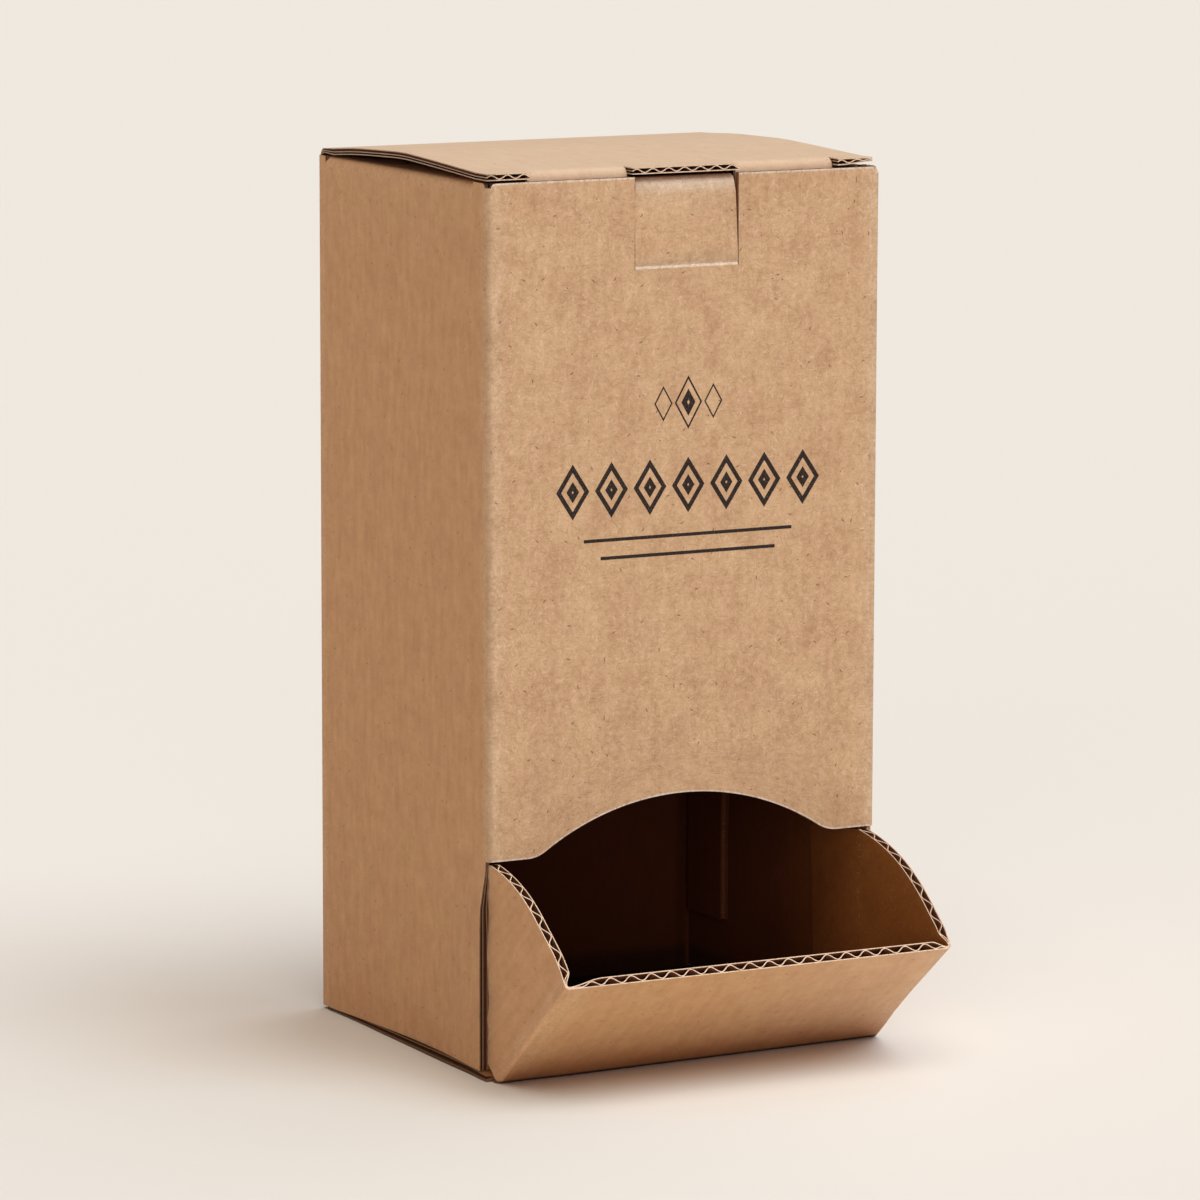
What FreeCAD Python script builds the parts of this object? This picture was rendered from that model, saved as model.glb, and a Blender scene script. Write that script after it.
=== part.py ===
import FreeCAD, Part

import math
import os

import Sketcher
from FreeCAD import Vector

# A gravity-feed dispenser box, die-cut and folded from one sheet of corrugated board.
# Frame: +X right, +Y to the back, +Z up. The origin is on the table, in the middle of the
# box's footprint, with the scoop-shaped tray reaching out along -Y.

DIMENSIONS = [
    # name, value in mm, what it is
    ("box_width", 140.0, "outside width across the side panels"),
    ("box_depth", 123.0, "outside depth, front panel to back panel"),
    ("wall_height", 286.0, "table to the top of the walls"),
    ("caliper", 3.0, "thickness of the board"),
    ("fold_radius", 2.6, "outer radius of a fold in a wall"),
    ("flap_width", 26.5, "width of the glue flap inside the right panel"),
    ("flap_foot", 19.0, "height of the glue flap's lower end"),
    ("dust_length", 44.0, "reach of each dust flap under the lid"),
    ("dust_front_gap", 7.0, "front panel's inner face to a dust flap"),
    ("dust_back_gap", 3.0, "back panel's inner face to a dust flap"),
    ("shoulder_height", 70.4, "table to the front panel's lower edge"),
    ("mouth_chord", 104.8, "width of the arch where it meets the shoulders"),
    ("mouth_rise", 16.9, "height of the arch above the shoulders"),
    ("mouth_blend", 12.0, "radius where the arch runs out into a shoulder"),
    ("wing_spread", 1.5, "how far each wing stands out past the side panel's inside"),
    ("tray_reach", 52.5, "front panel to the tray's lip, level"),
    ("lip_height", 41.2, "table to the tray's lip"),
    ("wing_gap", 0.9, "top of a wing to the front panel's lower edge"),
    ("wing_arc", 80.0, "radius of a wing's curved edge"),
    ("wing_glue", 30.0, "length of a wing glued inside the side panel"),
    ("side_set_back", 2.0, "side panel's free front edge behind the front face"),
    ("side_flare", 2.5, "how far the side panel's lower corner stands out"),
    ("flare_length", 54.0, "length of that corner along the table"),
    ("lid_caliper", 2.2, "thickness of the lid, pressed flatter than the walls"),
    ("lid_gap", 0.9, "daylight between the walls and the closed lid"),
    ("lid_crown", 2.5, "how far the lid bows up in the middle"),
    ("lid_flat", 8.0, "flat strip of the lid behind its front edge"),
    ("hinge_gap", 0.2, "back panel to the lid at their fold"),
    ("tab_play", 1.05, "press tab's side to the tuck tongue beside it"),
    ("notch_shift", 0.6, "middle of that opening, to the right of centre"),
    ("ear_width", 15.2, "width of the lid's notch beyond each tongue"),
    ("tongue_depth", 20.0, "reach of a tuck tongue below the walls' top"),
    ("tongue_lean", 2.2, "how far a tongue's lower end leans inwards"),
    ("tongue_gap", 0.3, "tongue to the front panel's inner face"),
    ("tuck_radius", 3.0, "outer radius of the fold above a tongue"),
    ("tab_width", 36.9, "width of the press tab in the front panel"),
    ("tab_height", 28.4, "crease to the top of the press tab"),
    ("tab_shift", 0.9, "middle of the tab, to the right of centre"),
    ("tab_slit", 0.3, "width of the cut at each side of the tab"),
    ("tab_lean", 1.2, "how far the tab's top leans inwards at rest"),
    ("tab_lip", 5.5, "reach of the tab's bent-over top inside the panel"),
    ("tab_shoulder", 2.2, "how much narrower that top is at each side"),
    ("tab_radius", 3.0, "outer radius of the tab's bent-over top"),
    ("tab_top_gap", 0.3, "walls' top to the top of the tab"),
]

doc = FreeCAD.newDocument("dispenser_box")
sheet = doc.addObject("Spreadsheet::Sheet", "sizes")
for row, (alias, number, note) in enumerate(DIMENSIONS, start=1):
    sheet.set(f"A{row}", note)
    sheet.set(f"B{row}", str(number))
    sheet.setAlias(f"B{row}", alias)
doc.recompute()


def size(alias):
    return float(sheet.get(alias))


# sizes that follow from the driving ones, in cells of their own
FOLLOWING = [
    ("tray_width", "=box_width - 2 * caliper + 2 * wing_spread", "outside width of the tray's front"),
    ("notch_width", "=tab_width + 2 * tab_play", "opening between the two tuck tongues"),
    ("tongue_width", "=(box_width - notch_width) / 2 - ear_width", "width of each tuck tongue"),
    ("fold", "=min(fold_radius; 0.9 * caliper)", "outer radius of a fold, within the board"),
]
for row, (alias, formula, note) in enumerate(FOLLOWING, start=len(DIMENSIONS) + 2):
    sheet.set(f"A{row}", note)
    sheet.set(f"B{row}", formula)
    sheet.setAlias(f"B{row}", alias)
doc.recompute()


def plane(body, role):
    return next(item for item in body.Origin.OriginFeatures if item.Role == role)


def sketch_on(body, label, role, lift="0"):
    """A sketch on one of the body's own planes, lifted along the plane's normal."""
    sketch = body.newObject("Sketcher::SketchObject", label)
    sketch.AttachmentSupport = [(plane(body, role), "")]
    sketch.MapMode = "FlatFace"
    sketch.setExpression("AttachmentOffset.Base.z", lift)
    return sketch


def pin(sketch, geometry, end, across, up):
    """Holds one end of a line or arc at a place given by two expressions of the sheet."""
    for kind, text in (("DistanceX", across), ("DistanceY", up)):
        number = sketch.evalExpression(text)
        number = float(getattr(number, "Value", number))
        index = sketch.addConstraint(Sketcher.Constraint(kind, -1, 1, geometry, end, number))
        sketch.setExpression(f"Constraints[{index}]", text)


def outline(sketch, corners, arcs=()):
    """A closed outline through corners given as pairs of expressions.

    arcs maps the index of a side to (radius expression, side it bulges to): +1 is to the
    right of the direction of travel and -1 to the left.
    """
    arcs = dict(arcs)
    places = []
    for across, up in corners:
        pair = [sketch.evalExpression(text) for text in (across, up)]
        places.append(Vector(*[float(getattr(n, "Value", n)) for n in pair], 0))
    for index, start in enumerate(places):
        stop = places[(index + 1) % len(places)]
        across, up = corners[index]
        if index in arcs:
            text, side = arcs[index]
            radius = sketch.evalExpression(text)
            radius = float(getattr(radius, "Value", radius))
            middle = (start + stop) / 2
            travel = stop - start
            half = travel.Length / 2
            right = Vector(travel.y, -travel.x, 0).normalize() * side
            rise = radius - math.sqrt(radius ** 2 - half ** 2)
            curve = Part.Arc(start, middle + right * rise, stop)
            geometry = sketch.addGeometry(curve, False)
            # an arc always runs anticlockwise, so its ends may be swapped
            first = sketch.getPoint(geometry, 1)
            ends = (1, 2) if (first - start).Length < 1e-6 else (2, 1)
            pin(sketch, geometry, ends[0], across, up)
            pin(sketch, geometry, ends[1], *corners[(index + 1) % len(corners)])
            held = sketch.addConstraint(Sketcher.Constraint("Radius", geometry, radius))
            sketch.setExpression(f"Constraints[{held}]", text)
        else:
            geometry = sketch.addGeometry(Part.LineSegment(start, stop), False)
            pin(sketch, geometry, 1, across, up)
            pin(sketch, geometry, 2, *corners[(index + 1) % len(corners)])


def box_corners(left, front, right, back):
    return [(left, front), (right, front), (right, back), (left, back)]


def pad(body, sketch, length, both_ways=False):
    feature = body.newObject("PartDesign::Pad", sketch.Name + "_pad")
    feature.Profile = sketch
    feature.setExpression("Length", length)
    feature.Midplane = both_ways
    doc.recompute()
    return feature


def pocket(body, sketch, length, both_ways=False):
    before = body.Shape.Volume
    feature = body.newObject("PartDesign::Pocket", sketch.Name + "_cut")
    feature.Profile = sketch
    feature.setExpression("Length", length)
    feature.Midplane = both_ways
    doc.recompute()
    if not body.Shape.Volume < before - 0.01:
        raise RuntimeError(sketch.Name + " cuts nothing")
    return feature


def fillet(body, label, radius, is_fold, expected):
    """Rounds the edges whose middle point and direction is_fold accepts."""
    names = []
    for number, edge in enumerate(body.Shape.Edges, start=1):
        if not isinstance(edge.Curve, Part.Line):
            continue
        middle = edge.valueAt((edge.FirstParameter + edge.LastParameter) / 2)
        travel = edge.Vertexes[-1].Point - edge.Vertexes[0].Point
        if is_fold(middle, travel.normalize(), edge.Length):
            names.append(f"Edge{number}")
    if len(names) != expected:
        raise RuntimeError(f"{label}: {len(names)} edges found, {expected} expected")
    base = body.Tip
    feature = body.newObject("PartDesign::Fillet", label)
    feature.Base = (base, names)
    feature.setExpression("Radius", radius)
    doc.recompute()
    return feature


def near(one, other):
    return abs(one - other) < 0.01


half_width = size("box_width") / 2
half_depth = size("box_depth") / 2
wall_height = size("wall_height")
caliper = size("caliper")

W = "sizes.box_width / 2"
D = "sizes.box_depth / 2"
H = "sizes.wall_height"
T = "sizes.caliper"


def make_folded_sheet():
    """Floor, four walls, glue flap, dust flaps and tray front, folded from the one sheet."""
    body = doc.addObject("PartDesign::Body", "folded_sheet")

    walls = sketch_on(body, "walls", "XY_Plane", T)
    outline(walls, box_corners(f"-{W}", f"-{D}", W, D))
    outline(walls, box_corners(f"-({W} - {T})", f"-({D} - {T})", f"{W} - {T}", f"{D} - {T}"))
    pad(body, walls, f"{H} - {T}")
    fillet(
        body, "wall_folds", "sizes.fold",
        lambda at, way, length: near(abs(way.z), 1) and length > wall_height / 2
        and (near(at.x, -half_width) or (near(at.x, half_width) and near(at.y, -half_depth))),
        3,
    )

    # the floor lies under the side panels, and narrows to the tray's width at the front fold
    floor = sketch_on(body, "floor", "XY_Plane")
    fold_end = "sizes.tray_width / 2"
    outline(
        floor,
        [(f"-{fold_end}", f"-{D}"), (fold_end, f"-{D}"), (fold_end, f"-({D} - {T})"),
         (W, f"-({D} - {T})"), (W, D), (f"-{W}", D), (f"-{W}", f"-({D} - {T})"),
         (f"-{fold_end}", f"-({D} - {T})")],
    )
    pad(body, floor, T)

    # the glue flap folds from the back panel and lies on the right panel's inside
    flap = sketch_on(body, "glue_flap", "XY_Plane", "sizes.flap_foot")
    outline(flap, box_corners(f"{W} - 2 * {T}", f"{D} - {T} - sizes.flap_width", f"{W} - {T}", f"{D} - {T}"))
    pad(body, flap, f"{H} - 2 * {T} - sizes.flap_foot")

    for side, label in ((-1, "left_dust_flap"), (1, "right_dust_flap")):
        dust = sketch_on(body, label, "XY_Plane", f"{H} - {T}")
        inner, outer = f"{side} * ({W} - sizes.dust_length)", f"{side} * ({W} - {T})"
        ends = (inner, outer) if side > 0 else (outer, inner)
        front, back = f"-({D} - {T} - sizes.dust_front_gap)", f"{D} - {T} - sizes.dust_back_gap"
        outline(dust, box_corners(ends[0], front, ends[1], back))
        pad(body, dust, T)

    # the arched mouth: the front panel ends at two shoulders with an arch between them
    mouth = sketch_on(body, "mouth", "XZ_Plane", D)
    inside = f"{W} - {T}"
    chord = "sizes.mouth_chord / 2"
    arch = f"({chord} * {chord} + sizes.mouth_rise * sizes.mouth_rise) / (2 * sizes.mouth_rise)"
    shoulder = "sizes.shoulder_height"
    outline(
        mouth,
        [(f"-({inside})", T), (inside, T), (inside, shoulder), (chord, shoulder),
         (f"-{chord}", shoulder), (f"-({inside})", shoulder)],
        {3: (arch, 1)},
    )
    pocket(body, mouth, T)

    free_edges = sketch_on(body, "free_edges", "XZ_Plane", D)
    outline(free_edges, box_corners(f"-{W}", T, W, shoulder))
    pocket(body, free_edges, "sizes.side_set_back")

    # each side panel's lower front corner is taken off along the line it bends out on
    corner = sketch_on(body, "lower_corners", "YZ_Plane")
    front_edge = f"-({D} - sizes.side_set_back)"
    outline(corner, [(front_edge, T), (f"{front_edge} + sizes.flare_length", T), (front_edge, shoulder)])
    pocket(body, corner, "sizes.box_width", both_ways=True)

    tray = sketch_on(body, "tray_front", "YZ_Plane")
    slant = "sqrt(sizes.tray_reach ^ 2 + sizes.lip_height ^ 2)"
    outline(
        tray,
        [(f"-{D}", "0"),
         (f"-{D} + {T} * sizes.lip_height / ({slant} + sizes.tray_reach)", T),
         (f"-{D} - sizes.tray_reach + {T} * sizes.lip_height / {slant}",
          f"sizes.lip_height + {T} * sizes.tray_reach / {slant}"),
         (f"-{D} - sizes.tray_reach", "sizes.lip_height")],
    )
    pad(body, tray, "sizes.tray_width", both_ways=True)

    # the press tab's window in the front panel, open at the top
    window = sketch_on(body, "tab_window", "XZ_Plane", D)
    tab_reach = "(sizes.tab_width / 2 + sizes.tab_slit)"
    outline(
        window,
        box_corners(f"sizes.tab_shift - {tab_reach}", f"{H} - sizes.tab_height",
                    f"sizes.tab_shift + {tab_reach}", f"{H} + {T}"),
    )
    pocket(body, window, T)

    # the side panels' tops are folds, rounded over from front to back
    tops = sketch_on(body, "dust_flap_folds", "XZ_Plane")
    bend = "sizes.fold"
    outline(tops, [(f"{W} - {bend}", H), (W, f"{H} - {bend}"), (W, H)], {0: (bend, -1)})
    outline(tops, [(f"-{W}", H), (f"-{W}", f"{H} - {bend}"), (f"-({W} - {bend})", H)], {1: (bend, -1)})
    pocket(body, tops, "sizes.box_depth + sizes.caliper", both_ways=True)

    # the back panel turns in to the glue flap beside the right panel's raw edge
    seam = sketch_on(body, "glue_seam", "XY_Plane", H)
    depth = "sizes.fold"
    outline(seam, [(f"{W} - {T}", f"{D} - {depth}"), (f"{W} - {T}", D), (f"{W} - {T} - {depth}", D)])
    pocket(body, seam, f"{H} - {T}")

    shoulder_height = size("shoulder_height")
    fillet(
        body, "floor_back_fold", "sizes.fold",
        lambda at, way, length: near(abs(way.x), 1) and near(at.z, 0) and near(at.y, half_depth),
        1,
    )
    fillet(
        body, "tray_fold", "sizes.fold",
        lambda at, way, length: near(abs(way.x), 1) and near(at.z, 0)
        and near(at.y, -half_depth) and near(length, size("tray_width")),
        1,
    )
    fillet(
        body, "arch_ends", "sizes.mouth_blend",
        lambda at, way, length: near(abs(way.y), 1) and near(at.z, shoulder_height)
        and near(abs(at.x), size("mouth_chord") / 2),
        2,
    )
    return body


def slab(label, outline_points, thickness, bulge=None):
    """A piece of board: a flat outline pushed across by its thickness.

    bulge gives a point that the last side passes through, which makes that side an arc.
    """
    edges = [Part.LineSegment(a, b).toShape() for a, b in zip(outline_points, outline_points[1:])]
    last, first = outline_points[-1], outline_points[0]
    closing = Part.Arc(last, bulge, first) if bulge else Part.LineSegment(last, first)
    edges.append(closing.toShape())
    solid = doc.addObject("Part::Feature", label)
    solid.Shape = Part.Face(Part.Wire(edges)).extrude(thickness)
    return solid


def make_lower_corner(side):
    """The side panel's lower front corner, bent outwards along a slanting line."""
    outer = side * half_width
    front = -half_depth + size("side_set_back")
    top = Vector(outer, front, size("shoulder_height"))
    back = Vector(outer, front + size("flare_length"), caliper)
    foot = Vector(outer + side * size("side_flare"), front, caliper)
    name = "left_lower_corner" if side < 0 else "right_lower_corner"
    return slab(name, [top, back, foot], Vector(-side * caliper, 0, 0))


def make_wing(side):
    """A wing of the tray: a curved-edged flap glued inside the side panel.

    It starts flush with the side panel's inside at the top and spreads to the tray's width.
    """
    inner_face = half_width - caliper
    spread = size("tray_width") / 2 - inner_face
    top = size("shoulder_height") - size("wing_gap")
    reach, lip = size("tray_reach"), size("lip_height")
    lean = spread / top
    yaw = (spread - lean * (top - lip)) / reach

    def on_wing(y, z):
        out = inner_face + yaw * (-half_depth - y) + lean * (top - z)
        return Vector(side * out, y, z)

    # the curved edge is an arc from the wing's top to the lip's corner
    high = Vector(0, -half_depth, top)
    low = Vector(0, -half_depth - reach, lip)
    middle = (high + low) / 2
    half = (high - low).Length / 2
    radius = size("wing_arc")
    rise = radius - math.sqrt(radius ** 2 - half ** 2)
    outwards = Vector(0, low.z - high.z, high.y - low.y).normalize()
    crest = middle + outwards * rise
    glue_back = -half_depth + size("wing_glue")
    points = [on_wing(high.y, high.z), on_wing(glue_back, top - caliper), on_wing(glue_back, caliper / 2),
              on_wing(-half_depth, 0), on_wing(low.y, low.z)]
    name = "left_wing" if side < 0 else "right_wing"
    return slab(name, points, Vector(-side * caliper, 0, 0), bulge=on_wing(crest.y, crest.z))


def make_box_body():
    pieces = [make_folded_sheet()]
    for side in (-1, 1):
        pieces += [make_lower_corner(side), make_wing(side)]
    box = doc.addObject("Part::MultiFuse", "box_body")
    box.Shapes = pieces
    box.Refine = False
    return box


def tongue_range(side):
    """Left and right end of a tuck tongue, as expressions of the sheet."""
    near_end = f"sizes.notch_shift + {side} * sizes.notch_width / 2"
    far_end = f"{near_end} + {side} * sizes.tongue_width"
    return (near_end, far_end) if side > 0 else (far_end, near_end)


def make_lid():
    """The lid, folded over from the back panel, with its two tuck tongues."""
    body = doc.addObject("PartDesign::Body", "lid")
    seat = f"{H} + sizes.hinge_gap"
    under = f"{H} + sizes.lid_gap"
    top = f"{under} + sizes.lid_caliper"
    roll = "(sizes.lid_gap + sizes.lid_caliper - sizes.hinge_gap)"
    crown_back = f"{D} - {roll}"
    crown_front = f"-({D} - sizes.lid_flat)"
    span = f"(sizes.box_depth - sizes.lid_flat - {roll})"
    bow = f"({span} ^ 2 / (8 * sizes.lid_crown) + sizes.lid_crown / 2)"

    profile = sketch_on(body, "lid_profile", "YZ_Plane")
    outline(
        profile,
        [(D, seat), (crown_back, top), (crown_front, top), (f"-{D}", top), (f"-{D}", under),
         (crown_front, under), (crown_back, under), (f"{D} - sizes.lid_caliper", seat)],
        {0: (roll, 1), 1: (bow, 1), 5: (bow, -1)},
    )
    pad(body, profile, "sizes.box_width", both_ways=True)

    tuck_face = f"-({D} - {T} - sizes.tongue_gap)"
    for side, label in ((-1, "left"), (1, "right")):
        start, stop = tongue_range(side)
        clearing = sketch_on(body, label + "_tuck_clearing", "XY_Plane", f"{top} + {T}")
        outline(clearing, box_corners(start, f"-{D}", stop, f"{tuck_face} + sizes.tuck_radius"))
        pocket(body, clearing, f"2 * {T} + sizes.lid_caliper")

        tongue = sketch_on(body, label + "_tongue", "YZ_Plane", start)
        bend = f"{H} - sizes.tuck_radius / 2"
        foot = f"{H} - sizes.tongue_depth"
        board = "sizes.lid_caliper"
        lean = "sizes.tongue_lean"
        outline(
            tongue,
            [(f"{tuck_face} + sizes.tuck_radius", top), (tuck_face, f"{top} - sizes.tuck_radius"),
             (tuck_face, bend), (f"{tuck_face} + {lean}", foot),
             (f"{tuck_face} + {lean} + {board}", foot), (f"{tuck_face} + {board}", bend),
             (f"{tuck_face} + {board}", under), (crown_front, under), (crown_front, top)],
            {0: ("sizes.tuck_radius", 1)},
        )
        pad(body, tongue, "sizes.tongue_width")

    return body


def make_press_tab():
    """The tab cut in the front panel, pushed in to let the lid's tongues out."""
    body = doc.addObject("PartDesign::Body", "press_tab")
    crease = f"{H} - sizes.tab_height"
    foot = f"{crease} + sizes.tab_slit"
    top = f"{H} - sizes.tab_top_gap"
    outer, inner = f"-{D}", f"-({D} - {T})"
    lean = "sizes.tab_lean"

    profile = sketch_on(body, "tab_profile", "YZ_Plane", "sizes.tab_shift")
    outline(
        profile,
        [(outer, foot), (inner, foot), (f"{inner} + {lean}", f"{top} - {T}"),
         (f"{inner} + sizes.tab_lip", f"{top} - {T}"), (f"{inner} + sizes.tab_lip", top),
         (f"{outer} + {lean}", top)],
    )
    pad(body, profile, "sizes.tab_width", both_ways=True)

    # the bent-over top is narrower than the tab, so that it passes between the tongues
    for side, label in ((-1, "left_shoulder"), (1, "right_shoulder")):
        shoulder = sketch_on(body, label, "XY_Plane", f"{H} + {T}")
        edge = f"sizes.tab_shift + {side} * sizes.tab_width / 2"
        step = f"{edge} - {side} * sizes.tab_shoulder"
        ends = (step, edge) if side > 0 else (edge, step)
        outline(shoulder, box_corners(ends[0], f"{inner}", ends[1], f"{inner} + sizes.tab_lip"))
        pocket(body, shoulder, f"3 * {T}")

    tab_top = wall_height - size("tab_top_gap")
    fillet(
        body, "tab_fold", "sizes.tab_radius",
        lambda at, way, length: near(abs(way.x), 1) and near(at.z, tab_top)
        and near(at.y, -half_depth + size("tab_lean")),
        1,
    )
    return body


parts = [make_box_body(), make_lid(), make_press_tab()]
doc.recompute()

for item in doc.Objects:
    if "Invalid" in item.State or "Error" in item.State:
        raise RuntimeError(f"{item.Label} failed: {item.State}")
for item in parts:
    if item.Shape.isNull() or not item.Shape.isValid():
        raise RuntimeError(item.Label + " has no valid shape")

os.makedirs("parts", exist_ok=True)
for item in parts:
    item.Shape.exportStep(f"parts/{item.Label}.step")
    box = item.Shape.BoundBox
    print(item.Label, len(item.Shape.Solids), "solid", round(item.Shape.Volume), "mm3",
          [round(n, 2) for n in (box.XMin, box.YMin, box.ZMin, box.XMax, box.YMax, box.ZMax)])
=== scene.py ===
import math
import bpy
import numpy as np
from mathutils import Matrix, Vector


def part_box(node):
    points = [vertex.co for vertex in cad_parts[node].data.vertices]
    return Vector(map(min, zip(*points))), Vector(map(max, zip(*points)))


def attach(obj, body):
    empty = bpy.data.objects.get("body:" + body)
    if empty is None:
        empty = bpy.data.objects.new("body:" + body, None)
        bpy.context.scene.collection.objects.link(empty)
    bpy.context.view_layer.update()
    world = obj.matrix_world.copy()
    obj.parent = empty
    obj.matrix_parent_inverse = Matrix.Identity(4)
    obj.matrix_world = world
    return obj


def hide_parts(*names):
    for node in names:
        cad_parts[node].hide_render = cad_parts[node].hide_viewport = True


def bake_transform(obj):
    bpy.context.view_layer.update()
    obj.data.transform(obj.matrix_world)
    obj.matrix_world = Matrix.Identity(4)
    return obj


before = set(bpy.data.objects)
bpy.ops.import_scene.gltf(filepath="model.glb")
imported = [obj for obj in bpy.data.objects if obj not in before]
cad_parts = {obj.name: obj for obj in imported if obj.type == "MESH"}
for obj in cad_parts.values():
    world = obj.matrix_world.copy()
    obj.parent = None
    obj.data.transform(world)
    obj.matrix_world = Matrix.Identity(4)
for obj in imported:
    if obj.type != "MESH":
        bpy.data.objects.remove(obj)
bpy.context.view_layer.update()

mm = 0.001
scene = bpy.context.scene
bodyLow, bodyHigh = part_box("box_body")
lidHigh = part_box("lid")[1]
tabLow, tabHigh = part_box("press_tab")
halfWidth = lidHigh.x  # outside of the side panels
halfDepth = lidHigh.y  # outside of the front and back panels
wallTop = bodyHigh.z  # top of the walls

board = {
    "caliper": 3.0 * mm,  # one wall of fluted board
    "liner": 0.34 * mm,
    "flutePitch": 7.0 * mm,
    "stepsPerFlute": 12,
    "flattest": 0.02 * mm,  # least rise of a pressed flute
    "foldRadius": 1.4 * mm,  # outside of a fold
    "foldSteps": 6,
    "crushed": 1.25 * mm,  # what a fold leaves of the caliper
    "crushedReach": 5.0 * mm,  # how far that runs out into a panel
    "rubbedShare": 0.4,  # of the caliper, lost where a crease is worn most
    "hair": 0.002 * mm,  # one step of a fold on the flat blank
    "smoothAngle": math.radians(40),
}
fluteStep = board["flutePitch"] / board["stepsPerFlute"]
quarterTurn = math.pi / 2
far = 1.0  # farther than any place on a sheet


# Lines ruled across the blank, as (place on the flat blank, length run along the board), and the number of
# the line that starts each span. The span numbered anchor starts at the place given.
def ruleLines(spans, step, anchor, at):
    lines, starts = [(0.0, 0.0)], []
    for kind, length in spans:
        starts.append(len(lines) - 1)
        place, run = lines[-1]
        parts = board["foldSteps"] if kind == "fold" else max(1, round(length / step))
        width = board["hair"] * parts if kind == "fold" else length
        lines += [(place + width * k / parts, run + length * k / parts) for k in range(1, parts + 1)]
    starts.append(len(lines) - 1)
    place, run = lines[starts[anchor]]
    return [(a - place + at, b - run + at) for a, b in lines], starts


def enter(mode):
    bpy.ops.object.mode_set(mode=mode)


def deselectAll():
    if bpy.context.mode != "OBJECT":
        enter("OBJECT")
    bpy.ops.object.select_all(action="DESELECT")


def makeActive(piece):
    deselectAll()
    piece.select_set(True)
    bpy.context.view_layer.objects.active = piece


def readAll(items, name, kind=np.int32, width=1):
    values = np.empty(len(items) * width, dtype=kind)
    items.foreach_get(name, values)
    return values


def coordsOf(piece):
    return readAll(piece.data.vertices, "co", float, 3).reshape(-1, 3)


def setCoords(piece, co):
    piece.data.vertices.foreach_set("co", np.ascontiguousarray(co).ravel())
    piece.data.update()


def cornersOf(piece):
    return readAll(piece.data.loops, "vertex_index")


def markOf(piece, name):
    return readAll(piece.data.attributes[name].data, "value")


def setMark(piece, name, values):
    mark = piece.data.attributes.get(name) or piece.data.attributes.new(name, "INT", "POINT")
    mark.data.foreach_set("value", np.asarray(values, dtype=np.int32))


def pickVertices(piece, mask):
    makeActive(piece)
    scene.tool_settings.mesh_select_mode = (True, False, False)
    data = piece.data
    data.vertices.foreach_set("select", np.asarray(mask, dtype=bool))
    data.edges.foreach_set("select", np.zeros(len(data.edges), dtype=bool))
    data.polygons.foreach_set("select", np.zeros(len(data.polygons), dtype=bool))
    enter("EDIT")


def pickAll(piece):
    pickVertices(piece, np.ones(len(piece.data.vertices), dtype=bool))


def turnPicked(angle, axis, centre):
    bpy.ops.transform.rotate(value=-angle, orient_axis=axis, orient_type="GLOBAL", center_override=centre)
    enter("OBJECT")


def movePicked(offset):
    bpy.ops.transform.translate(value=offset)
    enter("OBJECT")


# Stands a folded blank up, its face in the front panel's plane.
def standUp(piece):
    pickAll(piece)
    turnPicked(quarterTurn, "X", (0, 0, 0))
    pickAll(piece)
    movePicked((0, -halfDepth, 0))


# A flat blank lying face up: a grid at its size, its lines moved to the ruled places.
def layBlank(name, columns, rows):
    deselectAll()
    bpy.ops.mesh.primitive_grid_add(x_subdivisions=len(columns) - 1, y_subdivisions=len(rows) - 1, size=1)
    blank = bpy.context.object
    blank.name = blank.data.name = name
    across, along = np.array(columns), np.array(rows)
    column = np.tile(np.arange(len(columns)), len(rows))
    row = np.repeat(np.arange(len(rows)), len(columns))
    setMark(blank, "column", column)
    setMark(blank, "row", row)
    setCoords(blank, np.stack([across[column, 0], along[row, 0], np.zeros(len(column))], axis=1))
    corners = cornersOf(blank)
    ruled = np.stack([across[column[corners], 1], along[row[corners], 1]], axis=1)
    blank.data.uv_layers[0].data.foreach_set("uv", ruled.ravel())
    return blank


# Cuts away the faces whose lowest column and row pass the test.
def cutAway(blank, test):
    makeActive(blank)
    column, row = markOf(blank, "column"), markOf(blank, "row")
    corners = np.array([tuple(face.vertices) for face in blank.data.polygons])
    waste = test(column[corners].min(axis=1), row[corners].min(axis=1))
    scene.tool_settings.mesh_select_mode = (False, False, True)
    blank.data.polygons.foreach_set("select", waste)
    enter("EDIT")
    bpy.ops.mesh.delete(type="FACE")
    enter("OBJECT")


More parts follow.
